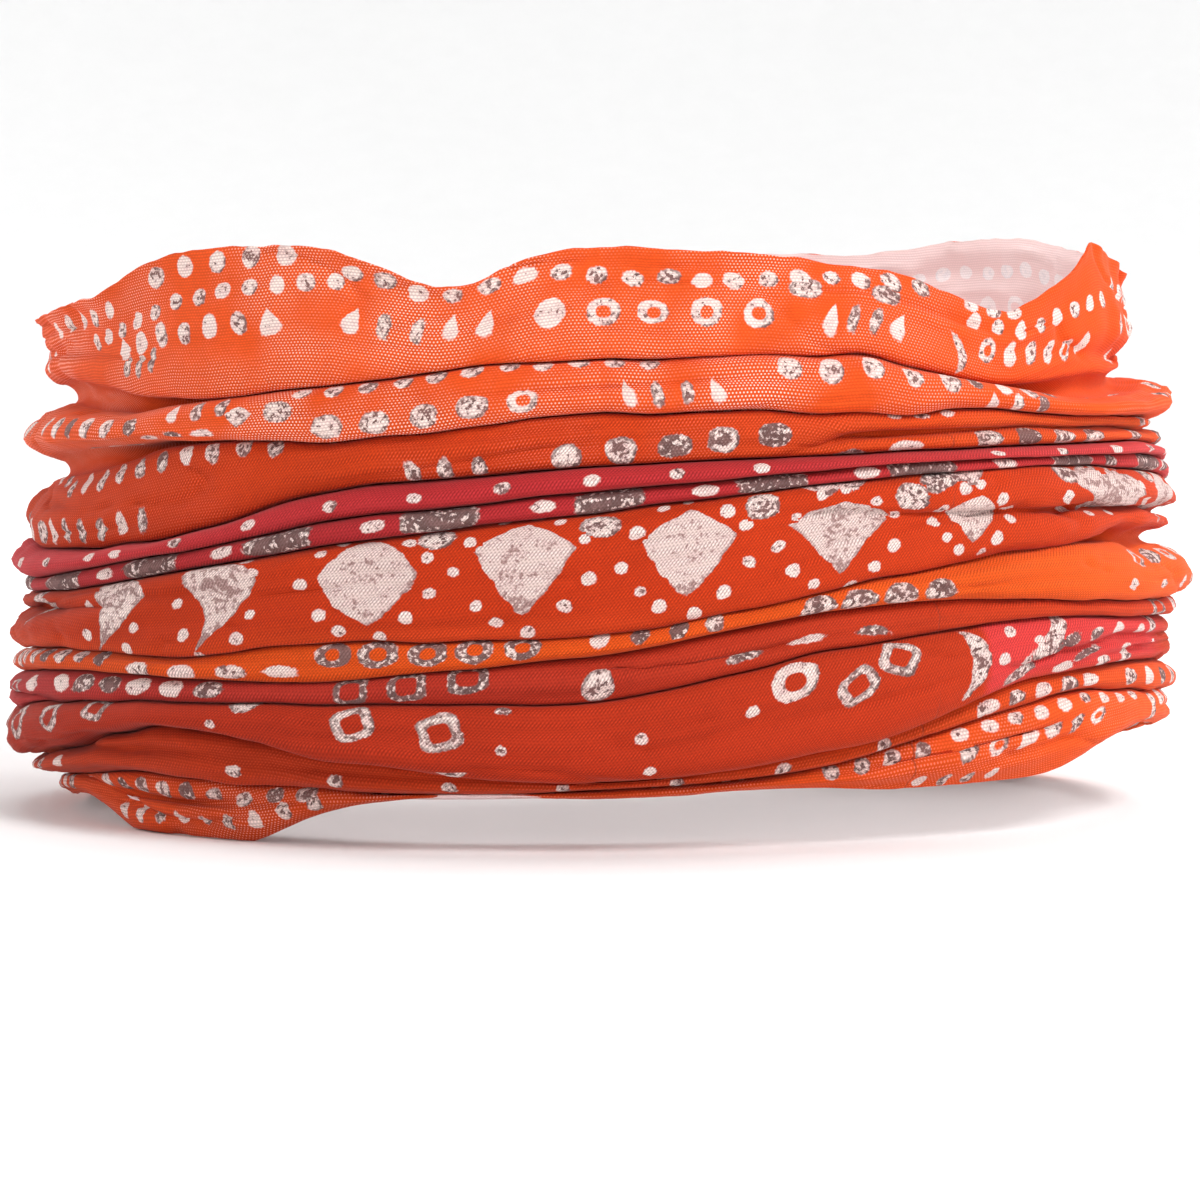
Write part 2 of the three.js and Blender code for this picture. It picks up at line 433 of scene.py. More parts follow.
def wrinkles():
    """How far each point of the faces stands out from the smooth section, and nothing in the webs."""
    out = np.zeros_like(down)
    for k, (first, last) in enumerate(faces):
        count = last - first + 1
        share = np.linspace(0, 1, count)[:, None] * np.ones(COLUMNS)
        turn = angles / FULL_TURN * np.ones((count, 1))
        height = lines[k] - lines[k + 1]
        held = np.sin(math.pi * np.clip(share, 0, 1)) ** 0.7
        if k == TOP:
            held = np.where(share < 0.5, 1, held)
        if k == BOTTOM:
            held = np.where(share > 0.5, 1, held)
        waves = (0.55 * smooth_noise(300 + k, 18, 2, turn, share)
                 + 0.42 * smooth_noise(330 + k, 46, 4, turn + 0.012 * share, share)
                 + 0.40 * smooth_noise(360 + k, 26, 8, turn + 0.04 * share, share))
        crimps = side * smooth_noise(420 + k, 120, 2, turn + 0.004 * share, share)
        fine = 0.05 * smooth_noise(390 + k, 260, 22, turn, share)
        pull = smooth_noise(450 + k, 20, 5, turn + (0.05 if k % 2 else -0.05) * share, share)
        tension = -0.75 * np.clip(1 - np.abs(pull) / 0.16, 0, 1) ** 1.5 * np.clip((height - 4) / 6, 0, 1)
        waves += (0.9 if k == TOP else 0.5) * crimps
        out[first:last + 1] = held * (np.clip(height / 9, 0.15, 1) * waves + tension + fine)
    return out


def outward(points):
    """Unit normals of the grid of points."""
    round_step = np.roll(points, -1, axis=1) - np.roll(points, 1, axis=1)
    normals = np.cross(np.gradient(points, axis=0), round_step)
    return normals / (np.linalg.norm(normals, axis=-1, keepdims=True) + 1e-12)


def gathered_points():
    """Middle of the cloth at every row and column, in millimetres, and its outward normals."""
    warp = 1.0 * np.sin(2 * angles) + 0.5 * np.sin(4 * angles + 0.6)  # the oval isn't quite even
    depth = section_depth + warp
    points = np.stack([(HALF_WIDTH - depth) * np.sin(angles), -(HALF_DEPTH - depth) * np.cos(angles),
                       section_z], axis=-1)
    points = points + outward(points) * wrinkles()[..., None]
    normals = outward(points)
    points[..., 2] = np.maximum(points[..., 2], FLOOR_CLEARANCE)
    return points, normals


points, normals = gathered_points()


# ---------------------------------------------------------------- the print

mean_step = np.hypot((HALF_WIDTH - MEAN_INSET) * np.cos(angles),
                     (HALF_DEPTH - MEAN_INSET) * np.sin(angles))
round_at = np.concatenate([[0], np.cumsum((mean_step + np.roll(mean_step, -1)) / 2 * FULL_TURN / COLUMNS)])
LOOP = round_at[-1]
VARY = 0.1  # how much the size and the spacing of marks vary
GAPS = 0.10  # share of the marks that are missing away from the front
LARGE = 7.5  # a mark with no side shorter than this has small dots round it
SATELLITES = 11

# What each kind of mark looks like. power 1 is a diamond, 2 an ellipse and 5 nearly a rectangle;
# speckle is how much dark it has, and tip how much more at its lower end.
EVEN = dict(taper=0.0, bend=0.0, hole=-1.0, lift=0.0, tip=0.0)
BEND_REST = 0.3  # square of the height at which a bent mark isn't moved
NARROWEST = 0.15  # least width that a taper leaves
KINDS = {
    "dot": dict(power=2.1, speckle=0.42),
    "plain": dict(power=2.1, speckle=0.20, taper=0.10),
    "ring": dict(power=2.2, speckle=0.36, hole=0.46),
    "bar": dict(power=2.4, speckle=0.5, taper=0.12, bend=0.15),
    "drop": dict(power=1.9, speckle=0.04, taper=0.7, bend=0.12),
    "big": dict(power=2.2, speckle=0.5),
    "dark": dict(power=2.2, speckle=0.82),
    "gem": dict(power=1.42, speckle=0.40, lift=0.08, tip=0.03),
    "kite": dict(power=1.16, speckle=0.42, lift=0.36, tip=0.12),
    "goblet": dict(power=1.2, speckle=0.5, lift=0.45, tip=0.1, taper=-0.35),
    "horn": dict(power=1.35, speckle=0.62, taper=-0.74, bend=-1.0, lift=0.34, tip=0.10),
    "square": dict(power=4.0, speckle=0.50, hole=0.52),
    "smoky": dict(power=2.1, speckle=0.74, hole=0.42),
    "faint": dict(power=3.4, speckle=0.82, hole=0.56),
    "patch": dict(power=3.6, speckle=0.85),
    "half": dict(power=2.4, speckle=0.6, bend=-0.1, taper=0.25),
    "crescent": dict(power=2.0, speckle=0.45, bend=-1.5),
}

# Rows of marks on each fold: the row's path as angles and shares of the fold's height, spacing, size
# of a mark, its kinds in turn, and for some its slant and how late it starts.
FRONT_ROWS = [
    ("top_panel", [
        ([-46, -34, -27], [.9, .92, .93], 5.6, (3.1, 3.3), "dot plain dot dot plain"),
        ([-71, -52], [.78, .84], 4.8, (2.4, 3), "plain dot"),
        ([-23, -16, -11, 0, 14, 24, 34], [.86, .9, .9, .74, .72, .84, .9], 4.9, (3, 2.3),
          "dot big plain dot dot plain dot dot"),
        ([-60, -41, -24], [.58, .68, .76], 4.4, (2.5, 2.5), "dot plain dot plain dot dot"),
        ([-4.5, 18], [.44, .4], 7.2, (4.4, 3.8), "plain ring ring ring ring"),
        ([-53, -29], [.46, .48], 4.9, (2.7, 3.7), "drop plain dot dot plain dot", 12),
        ([-23, -10], [.48, .5], 4.7, (1.9, 4), "drop bar bar drop", -12),
        ([-52, -47], .3, 3.2, (1.7, 3.6), "bar bar", -8),
        ([22, 32], [.4, .42], 3.6, (1.9, 4.3), "drop bar bar drop", -20),
        ([19.5, 33], [.7, .72], 12.5, (4.6, 2.8), "big big"),
    ]),
    ("dotted_fold", [
        ([-28, 6], [.9, .92], 4.8, (2.9, 2.3), "dot"),
        ([-25, -5], [.24, .34], 6.8, (4.2, 3.5), "big big big big ring"),
        ([2.5, 12.5], [.38, .42], 4, (1.7, 3.6), "drop bar bar drop", 12),
        ([17.5, 35], [.74, .76], 6.2, (3.3, 3.5), "dot"),
        ([-68, -46], [.5, .52], 4.8, (2.4, 3.1), "dot dot dark", 14),
        ([-43, -36], [.72, .8], 4.4, (1.8, 3.4), "drop bar bar"),
        ([-34.5, -29], [.52, .62], 6.5, (4.6, 3.4), "kite big"),
        ([-60, -38], [.14, .2], 5.6, (3.6, 1.2), "dark plain"),
    ]),
    ("plain_fold", [
        ([-64, -29], [.7, .95], 4.8, (2.2, 3.6), "bar plain dot dot bar", 18),
        ([-3, 18], [.22, .5], 7.1, (4.6, 3.9), "big big dark big dark"),
        ([-17, -9.5], [.2, .22], 4.6, (2, 3.6), "dot bar bar", 20),
        ([-66, -45], .2, 4.6, (2, 3.8), "plain bar bar big", 14),
        ([29, 36], [.92, .86], 4.2, (2.6, 1.4), "plain dot"),
        ([24, 36], [.07, .1], 9, (5, 1.8), "half plain"),
    ]),
    ("crimson_roll", [([-50, 18], [.4, .5], 11.6, (2.2, 1.6), "plain dot")]),
    ("patch_fold", [
        ([-64, 42], [.48, .5], 22.6, (10, 4.2), "patch", 0, 2),
        ([-58, 42], [.45, .55], 11.3, (3.4, 1.8), "plain half", 0, 7),
    ]),
    ("diamond_fold", [
        ([-14.5, -1, 15, 30], [.92, .9, .86, .8], 22, (5.2, 3.8), "big"),
        ([21, 35], [.96, .93], 17.5, (7.6, 4), "kite half"),
    ]),
    ("ring_fold", [
        ([-24, -4], [.62, .6], 6.5, (5.4, 4.3), "smoky"),
        ([0, 6, 12], [.7, .6, .55], 5.2, (2.4, 3.2), "plain dark dark bar", -30),
        ([20, 36], [.34, .36], 6.1, (5.2, 3.4), "half"),
        ([-72, -49], [.62, .66], 4.8, (3, 2.8), "dot dot dark"),
        ([-46, -26], [.22, .28], 7.6, (4.6, 2), "dot plain"),
    ]),
    ("crimson_fold", [
        ([-60, -34], .55, 6, (4.2, 2.6), "plain half dark plain"),
        ([-22.5, -10], [.45, .72], 8, (5.2, 4), "faint"),
        ([13, 30], .35, 9.5, (5, 1.6), "half plain"),
    ]),
    ("lower_fold", [
        ([-36, 40], [.3, .4], 16, (2.2, 1.8), "dot"),
        ([40, 58], .5, 5, (3.2, 2), "plain half"),
    ]),
    ("bottom_fold", [
        ([-60, -26], [.78, .7], 5.2, (3.2, 2.4), "dot dark big"),
        ([-56, -28], [.3, .36], 4.6, (2, 3), "plain dot bar", 20),
        ([23, 34], [.66, .72], 4.8, (2.6, 2.8), "big big dot"),
        ([37, 66], [.88, .86], 4.6, (2.4, 1.7), "plain plain dot"),
        ([38, 60], [.55, .6], 5, (3.8, 2), "half ring drop dot", 24),
        ([33, 42], [.12, .14], 4, (1.8, 2.8), "plain bar bar"),
    ]),
]

JOINED_ROWS = [  # beyond the print join
    ("top_panel", [
        ([39.5, 66], [.78, .6], 4.6, (2.3, 2.5), "plain dot plain dot", -20),
        ([41, 63], [.44, .3], 4.8, (2.7, 3.6), "ring plain dot plain", -28),
        ([39, 52], [.96, .94], 4.6, (3, 2), "plain dot"),
    ]),
    ("dotted_fold", [
        ([38, 50], [.8, .6], 5, (2.6, 2.4), "dark plain dot"),
        ([40, 49], [.26, .3], 4.6, (1.8, 3), "drop dot dark drop", 16),
        ([56, 80], [.78, .5], 4.8, (2.4, 2.4), "plain dot dark"),
    ]),
    ("top_panel", [
        ([70, 206], [.74, .72], 4.8, (2.7, 2.5), "dot plain dot dot big"),
        ([70, 206], [.44, .42], 7.2, (4.2, 3.8), "ring ring plain ring"),
        ([72, 206], .2, 10.4, (1.9, 3.6), "drop bar", 10),
    ]),
    ("dotted_fold", [
        ([84, 206], .66, 6.2, (3.3, 3.4), "dot big dot"),
        ([84, 206], .2, 7.8, (1.9, 2.6), "bar drop", 12),
    ]),
    ("plain_fold", [
        ([40, 206], .26, 7.1, (4.4, 3.6), "big dark big"),
        ([70, 206], .86, 4.8, (2.2, 3), "bar plain dot", 15),
    ]),
    ("crimson_roll", [([40, 206], .45, 12, (2.2, 1.6), "plain dot")]),
    ("patch_fold", [
        ([49, 206], .5, 22.6, (9.6, 4.2), "patch", 0, 4),
        ([44, 206], .5, 11.3, (3.2, 1.9), "plain half", 0, 9),
    ]),
    ("diamond_fold", [
        ([57, 206], [.55, .52], 22.6, (13, 11.4), "horn kite gem kite"),
        ([50, 206], .9, 22.6, (4.8, 3.4), "big"),
    ]),
    ("ring_fold", [
        ([64, 206], [.7, .6], 6.5, (4.6, 3.8), "ring half ring"),
        ([60, 206], .24, 9.8, (2.2, 2), "plain dot"),
    ]),
    ("crimson_fold", [([70, 206], .5, 9.5, (4.8, 3), "square plain dark")]),
    ("square_fold", [
        ([84, 206], .62, 12.2, (6.2, 5), "square", -25),
        ([84, 206], .18, 11, (1.9, 1.8), "plain"),
    ]),
    ("lower_fold", [([64, 206], .5, 6.2, (3, 2.6), "dot plain dark")]),
    ("bottom_fold", [
        ([72, 206], .7, 4.8, (2.8, 2.6), "dot plain dot"),
        ([72, 206], .28, 6.6, (2, 3.2), "bar plain", 15),
    ]),
]

BACK_ROWS = [  # from the second join round to the left of the front
    ("top_panel", [
        ([-152, -80], [.74, .72], 4.8, (2.7, 2.5), "dot plain dot big"),
        ([-152, -78], [.42, .46], 4.8, (2.8, 3.6), "ring plain dot"),
        ([-152, -84], [.18, .2], 9.6, (1.9, 3.6), "bar drop", 10),
    ]),
    ("dotted_fold", [([-152, -76], [.56, .52], 5.6, (3, 3.1), "dot dark big")]),
    ("plain_fold", [
        ([-152, -66], .84, 5, (2.2, 3.4), "bar plain dot", 15),
        ([-152, -68], [.24, .2], 6.8, (3.8, 3.4), "big dark plain"),
    ]),
    ("crimson_roll", [([-152, -54], .45, 12, (2.2, 1.6), "plain dot")]),
    ("patch_fold", [([-152, -70], .5, 22.6, (9.6, 4.2), "patch")]),
    ("diamond_fold", [
        ([-152, -82], [.55, .68], 22.6, (13, 11.4), "kite gem horn"),
        ([-144, -60], .9, 22.6, (4.6, 3.4), "big"),
    ]),
    ("ring_fold", [([-152, -74], .6, 6.3, (4.2, 3.4), "ring dot")]),
    ("crimson_fold", [([-152, -64], .5, 8.6, (4.4, 2.6), "plain dark square")]),
    ("square_fold", [
        ([-152, -70], .6, 12.2, (6, 4.8), "square", 20),
        ([-152, -70], .2, 9, (2, 1.8), "plain"),
    ]),
    ("lower_fold", [([-152, -60], .5, 8.2, (2.8, 2.2), "dot plain")]),
    ("bottom_fold", [([-152, -64], .55, 5, (2.8, 2.8), "dot plain bar")]),
]

# Single marks on each fold: angle, share of its height, size, kind and slant. The crescents and what
# lies near them are the pale curls round the small crimson fold at the right of the front.
PLACED_MARKS = [
    ("diamond_fold", [
        (-69, .64, (7.4, 10.4), "horn"), (-50.4, .6, (8.4, 13.4), "horn", -4),
        (-36.2, .58, (9.2, 14.4), "horn"), (-20.6, .6, (13.2, 12.6), "gem"),
        (-6.6, .6, (13.2, 13.4), "kite", -3), (7.8, .56, (13, 12.6), "kite", -3),
        (22.2, .5, (13, 11.6), "goblet", -4), (37, .5, (9.6, 9.2), "kite", -10),
        (23.4, .97, (9, 5.6), "kite"), (36.6, .97, (9.6, 7), "kite"), (57, .92, (5, 5), "square", -20)
    ]),
    ("crimson_fold", [
        (-.2, .3, (4.4, 4.4), "big", 20)
    ]),
    ("square_fold", [
        (-33.4, .93, (4.6, 4.4), "big", 20), (-53, .76, (5, 4.2), "square", -10),
        (-62, .66, (4.6, 4.6), "square", 24), (-22, .66, (5.8, 5), "square", 24),
        (-14, .6, (6, 5.2), "square", 20), (17.6, .78, (6.6, 5.4), "ring"),
        (23.8, .62, (6, 4.8), "square", 32), (28.2, .82, (6.2, 4.6), "square", -32),
        (-8.5, .9, (2, 1.4), "half"), (-36.5, .4, (1.5, 1.3), "plain"), (-8.6, .42, (1.5, 1.4), "plain"),
        (3.6, .52, (1.7, 1.6), "plain"), (13.6, .6, (1.9, 1.7), "plain"), (4.4, .14, (1.7, 1.4), "plain"),
        (-13.2, .03, (4, 2.4), "kite"), (37, .56, (3.2, 10), "crescent"),
        (47.5, .74, (3, 12), "crescent", -42), (41.6, .86, (1.9, 1.9), "plain"),
        (45.4, .64, (2.1, 1.4), "plain", 20), (40.2, .5, (1.9, 1.7), "plain"),
        (43.4, .4, (1.8, 1.6), "plain"), (49.4, .52, (6.5, 2), "dark", 24),
        (54.6, .66, (3.6, 1.6), "half", 24), (60, .74, (3.6, 1.7), "plain", 20),
        (66, .7, (3, 1.7), "plain", 20), (53.4, .34, (7.5, 1.9), "dark", 22),
        (62, .4, (3.2, 1.6), "plain", 18), (70, .86, (2.6, 5), "crescent", -10),
        (62, .16, (3, 6.5), "crescent", -20), (43, .2, (6.2, 2.2), "big", 18),
        (49.5, .14, (4, 2.2), "plain", 10), (57, .14, (3.4, 1.8), "dot", 10)
    ]),
    ("top_panel", [
        (37, .3, (1.8, 6), "crescent", 10)
    ]),
]

# Rows on the webs, which show only when the collar is pulled up: share of the way through, spacing,
# kind, and least and greatest size.
WEB_MARKS = [(0.25, 6.4, "dot", 2.2, 3.2), (0.5, 12.4, "ring", 4.0, 5.2), (0.75, 9.6, "plain", 2.2, 3.2)]


def v_at(k, column, share):
    """Length down the cloth of the point on fold k's face at a share of its height."""
    first, last = faces[k]
    bottom, top = lines[k + 1][column], lines[k][column]
    heights = section_z[first:last + 1, column]
    return np.interp(-(bottom + share * (top - bottom)), -heights, grain_v[first:last + 1, column])


def column_at(degree):
    return int(round((degree % 360) / 360 * COLUMNS)) % COLUMNS


def round_of(degree):
    """Length round the cloth at an angle, which may pass a full turn."""
    turns = math.floor(degree / 360)
    column = (degree - 360 * turns) / 360 * COLUMNS
    return turns * LOOP + np.interp(column, np.arange(COLUMNS + 1), round_at)


def degree_of(length):
    turns = math.floor(length / LOOP)
    return 360 * (turns + np.interp(length - turns * LOOP, round_at, np.arange(COLUMNS + 1)) / COLUMNS)


def mark(centre, size, kind, tilt, draw):
    """One printed mark: its centre, size, slant and the numbers that shape it."""
    return dict(EVEN | KINDS[kind], u=centre[0], v=centre[1], w=size[0] / 2, h=size[1] / 2,
                tilt=math.radians(tilt), seed=draw.uniform(0, 100))


def satellites(centre, size, draw):
    """The ring of small dots round a large diamond."""
    for n in range(SATELLITES):
        a = FULL_TURN * (n + 0.5) / SATELLITES + draw.uniform(-0.12, 0.12)
        reach = 0.60 + 0.10 * math.cos(2 * a) ** 2
        place = (centre[0] + reach * size[0] * math.cos(a), centre[1] - reach * size[1] * math.sin(a))
        dot = draw.uniform(1.5, 2.1)
        yield mark(place, (dot, dot * draw.uniform(0.8, 1.0)), "plain", draw.uniform(-30, 30), draw)


def printed_marks():
    """Every mark of the print, sorted by the fold that carries it."""
    marks = [[] for _ in FOLDS]
    draw = np.random.RandomState(7)

    def add(name, degree, share, size, kind, tilt=0):
        k = NAMES.index(name)
        centre = (round_of(degree), v_at(k, column_at(degree), share))
        marks[k].append(mark(centre, size, kind, tilt, draw))
        if min(size) > LARGE:
            marks[k].extend(satellites(centre, size, draw))

    def add_row(name, gaps, stops, shares, step, size, kinds, tilt=0, start=0.0):
        at, end, turn = round_of(stops[0]) + start, round_of(stops[-1]), 0
        shares = np.broadcast_to(shares, len(stops))
        while at <= end + 0.01:
            degree, kind = degree_of(at), kinds.split()[turn % len(kinds.split())]
            share = np.interp(degree, stops, shares) + draw.uniform(-0.02, 0.02)
            turn += 1
            if gaps and draw.uniform() < gaps:
                at += step
                continue
            wide, high = (length * (1 + draw.uniform(-1, 1) * VARY) for length in size)
            add(name, degree, share, (wide, high), kind, tilt + draw.uniform(-8, 8))
            at += step * (1 + draw.uniform(-0.5, 0.5) * VARY)

    for gaps, table in ((0, FRONT_ROWS), (GAPS, JOINED_ROWS + BACK_ROWS)):
        for name, rows in table:
            for row in rows:
                add_row(name, gaps, *row)
    for name, singles in PLACED_MARKS:
        for single in singles:
            add(name, *single)
    return marks


def web_marks(k):
    """The marks on the web between folds k and k + 1, which a valley has none of."""
    draw = np.random.RandomState(500 + k)
    first, last = webs[k]
    hidden = opening_of(k)[0] <= 0.2
    for share, step, kind, low, high in WEB_MARKS:
        at = draw.uniform(0, step)
        while at < LOOP:
            column = column_at(degree_of(at))
            if hidden[column]:
                v = grain_v[first, column] + share * (grain_v[last, column] - grain_v[first, column])
                size = draw.uniform(low, high)
                yield mark((at, v), (size, 0.9 * size), kind, draw.uniform(-20, 20), draw)
            at += step


def in_mark(m, u, v, turns):
    """Where points lie in a mark's own axes, in halves of its size, at so many turns round the loop."""
    across, up = u - m["u"] - LOOP * turns, m["v"] - v
    c, s = np.cos(m["tilt"]), np.sin(m["tilt"])
    return (across * c + up * s) / m["w"], (-across * s + up * c) / m["h"]


def turns_to(m, u):
    """Turns between a mark and points round the loop, by the shorter way."""
    return np.round((u - m["u"]) / LOOP)


def nearest_marks(marks, u, v):
    """The index of the mark whose edge is nearest to each point."""
    best, chosen = np.full(u.shape, 1e9), np.zeros(u.shape, int)
    for index, m in enumerate(marks):
        x, y = in_mark(m, u, v, turns_to(m, u))
        x = x - m["bend"] * (y * y - BEND_REST)
        x = x / np.clip(1 - m["taper"] * y, NARROWEST, None)
        y = (y - m["lift"]) / (1 - m["lift"] * np.sign(y - m["lift"]))
        r = (np.abs(x) ** m["power"] + np.abs(y) ** m["power"]) ** (1 / m["power"])
        away = (r - 1) * min(m["w"], m["h"])
        closer = away < best
        best[closer], chosen[closer] = away[closer], index
    return chosen


# ---------------------------------------------------------------- dye

DYE_DEPTH = np.array([0.84, 0.58, 0.40])  # the bare dye is richer than the knit looks, nap and all
JOINS = [(36.3, 31.8), (207.0, 211.0)]  # where the print meets itself: angles at the top and bottom edge


def linear(colour):
    """A #rrggbb colour as linear red, green and blue."""
    parts = np.array([int(colour[i:i + 2], 16) for i in (1, 3, 5)]) / 255
    return np.where(parts <= 0.04045, parts / 12.92, ((parts + 0.055) / 1.055) ** 2.4) * DYE_DEPTH


def dye_and_side_light_of_rows():
    """Dye colour with painted side light, grin of the white ground, and slant of the stitches
    at every row and column.
    """
    colours, grin, lean = np.zeros(down.shape + (3,)), np.zeros(down.shape), np.zeros(down.shape)
    for k, (fold, (first, last)) in enumerate(zip(FOLDS, faces)):
        stops = np.array([linear(c) for c in fold["dye_and_side_light"]])
        colours[first:last + 1] = np.stack([closed_curve(stops[:, i]) for i in range(3)], axis=-1)
        patchy = 1 + 0.5 * ring_noise(600 + k, 16)
        grin[first:last + 1] = np.clip(closed_curve(fold["grin"]) * patchy, 0, 1.2)
        lean[first:last + 1] = fold["lean"]
    for web in webs:
        for values in (colours, grin, lean):
            blend_through(values, *web)
    shade_bands(colours)
    return np.clip(colours, 0, 1), grin, lean


def shade_bands(colours):
    """Where the colour changes within a fold."""

    def band(name, colour, amount, start=-1.0, width=1.0):
        """Mixes a colour in, from a share of the way down the face, or all over it."""
        first, last = faces[NAMES.index(name)]
        share = np.linspace(0, 1, last - first + 1)[:, None]
        amount = (np.clip((share - start) / width, 0, 1) * amount)[..., None]
        colours[first:last + 1] = colours[first:last + 1] * (1 - amount) + linear(colour) * amount

    small_fold = np.clip((degrees - 38.0) / 0.8, 0, 1) * np.clip((78 - degrees) / 8, 0, 1)
    band("diamond_fold", "#dc5a30", 0.75 * along([-100, -60, 0, 20], [1, 1, .5, .1]), 0.72, 0.2)
    band("square_fold", "#de4e5a", small_fold)
    band("square_fold", "#e05c2c", along([-40, -10, 12, 28, 38], [0, .4, .3, .9, .9]), 0.7, 0.3)
    # Darker rust over the lower part of the plain fold at the left and front, and over the lower fold near
    # -40 degrees.
    band("plain_fold", "#b83c1c", 0.35 * along([-60, -20, 20], [1, 1, 0]), 0.55, 0.25)
    band("lower_fold", "#b23a22", 0.3 * along([-70, -40, 0], [0, 1, 0]))


dye_and_side_light, grin, lean = dye_and_side_light_of_rows()


def join_distance(u, v):
    """Distance round the cloth to the nearer print join."""
    away = []
    for top, bottom in JOINS:
        line = round_of(top) + (round_of(bottom) - round_of(top)) * v / cloth_length.mean()
        step = u - line - 0.25 * np.sin(v / 9.0)
        away.append(np.abs(step - LOOP * np.round(step / LOOP)))
    return np.minimum(*away)


# ---------------------------------------------------------------- materials

class Wire:
    """One value in a material's node tree. Arithmetic on it adds a math node."""

    def __init__(self, nodes, socket):
        self.nodes, self.socket = nodes, socket


for name, operation in zip(("add", "sub", "mul", "truediv", "pow"),
                           ("ADD", "SUBTRACT", "MULTIPLY", "DIVIDE", "POWER")):
    setattr(Wire, f"__{name}__", lambda self, other, kind=operation: self.nodes.math(kind, self, other))
    setattr(Wire, f"__r{name}__", lambda self, other, kind=operation: self.nodes.math(kind, other, self))
Wire.__abs__ = lambda self: self.nodes.math("ABSOLUTE", self)


class Nodes:
    """Short ways to add shader nodes to one material."""

    def __init__(self, name):
        self.material = bpy.data.materials.new(name)
        self.material.use_nodes = True
        self.tree = self.material.node_tree
        self.shader = self.tree.nodes["Principled BSDF"]

    def put(self, socket, value):
        if isinstance(value, Wire):
            self.tree.links.new(value.socket, socket)
        else:
            socket.default_value = value

    def add(self, kind, values, output=0):
        """A node with values for its inputs, by number or name, and the wire from one output."""
        node = self.tree.nodes.new("ShaderNode" + kind)
        for key, value in values.items():
            self.put(node.inputs[key], value)
        return node, Wire(self, node.outputs[output])

    def shade(self, **looks):
        """Sets the shader's inputs, with _ for a space."""
        for name, value in looks.items():
            self.put(self.shader.inputs[name.replace("_", " ")], value)

    def math(self, operation, *values):
        node, out = self.add("Math", dict(enumerate(values)))
        node.operation = operation
        return out

    def cosine(self, value):
        return self.math("COSINE", value)

    def mix(self, factor, a, b, kind="MIX"):
        node, _ = self.add("Mix", {})
        node.data_type, node.blend_type = "RGBA", kind
        for socket, value in ((0, factor), (6, a), (7, b)):
            self.put(node.inputs[socket], value)
        return Wire(self, node.outputs[2])

    def darken(self, colour, amount):
        return self.mix(1.0, colour, self.join(amount, amount, amount), "MULTIPLY")

    def attribute(self, name, output="Vector"):
        node, out = self.add("Attribute", {}, output)
        node.attribute_type, node.attribute_name = "GEOMETRY", name
        return out

    def split(self, vector):
        node, _ = self.add("SeparateXYZ", {0: vector})
        return [Wire(self, socket) for socket in node.outputs]

    def join(self, x, y, z=0.0):
        return self.add("CombineXYZ", {0: x, 1: y, 2: z})[1]

    def noise(self, vector, scale, detail=2.0, roughness=0.5):
        return self.add("TexNoise", dict(Vector=vector, Scale=scale, Detail=detail, Roughness=roughness))[1]

    def ramp(self, value, low, high):
        """0 below low and 1 above high, smooth between."""
        node, out = self.add("MapRange", {0: value, 1: low, 2: high, 3: 0.0, 4: 1.0})
        node.interpolation_type = "SMOOTHSTEP"
        return out

    def bump(self, height, strength, distance):
        return self.add("Bump", dict(Height=height, Strength=strength, Distance=distance))[1]


WALE, COURSE = 0.52, 0.86  # stitch width, and the height of two rows of stitches


def stitches(n, u, v, slant):
    """Height of the knit's face from 0 to 1, in level rows or a twill where slant is 1, and its pits."""
    across, along_it = u * (FULL_TURN / WALE), v * (FULL_TURN / COURSE)
    rows, brick = n.cosine(along_it * 2), n.cosine(across) * n.cosine(along_it)
    twill = n.cosine(along_it * 1.5 + across)
    level, pulled = rows * 0.55 + brick * 0.45, twill * 0.6 + brick * 0.4
    wave = level + slant * (pulled - level)
    return wave * 0.5 + 0.5, brick * 0.65 + rows * 0.35


def mark_masks(n, cloth, knit):
    """Paint and dark flecks of the nearest mark, from 0 to 1, a mottle, and the mark's size."""
    x, y, _ = n.split(n.attribute("mark_place"))
    power, taper, size = n.split(n.attribute("mark_shape"))
    hole, speckle, bend = n.split(n.attribute("mark_ink"))
    seed, lift, tip = n.split(n.attribute("mark_more"))
    bent = x - bend * (y * y - BEND_REST)
    wide = bent / n.math("MAXIMUM", 1.0 - taper * y, NARROWEST)
    lifted = y - lift
    tall = lifted / (1.0 - lift * n.math("SIGN", lifted))
    r = (abs(wide) ** power + abs(tall) ** power) ** (1.0 / power)
    wobble = (n.noise(cloth, 0.42, 1.0) - 0.5) * (size * 0.16 + 0.35)
    fray = n.noise(cloth, 2.4, 0.0) * 0.28 - 0.14
    away = n.math("MAXIMUM", (r - 1.0) * size + wobble + fray, (hole - r) * size + wobble * 0.6)
    paint = 1.0 - n.ramp(away, -0.12, 0.12)

    u, v, _ = n.split(cloth)
    own_place = n.join(u, v, seed)
    mottle = n.noise(own_place, 0.5, 2.0, 0.6)
    grains = n.noise(own_place, 1.5, 2.5, 0.55)
    field = mottle * 0.35 + grains * 0.65 + (0.5 - r) * 0.08 + tip * n.ramp(y, -0.45, -0.75)
    field = field + (knit * 0.07 - 0.035) + (0.03 - n.ramp(size, 1.4, 3.5) * 0.03)
    fleck = n.ramp(field - (0.665 - speckle * 0.27), 0.0, 0.04)
    lower_right = n.ramp(wide * 0.8 - y * 0.5, 0.25, 0.75) * n.ramp(speckle, 0.2, 0.35)
    rim = n.math("MAXIMUM", lower_right, n.ramp(speckle, 0.40, 0.52) * 0.8)
    rim = rim * n.ramp(away, -0.60, -0.20) * n.ramp(grains, 0.36, 0.52)
    return paint, n.math("MAXIMUM", fleck, rim), mottle, size


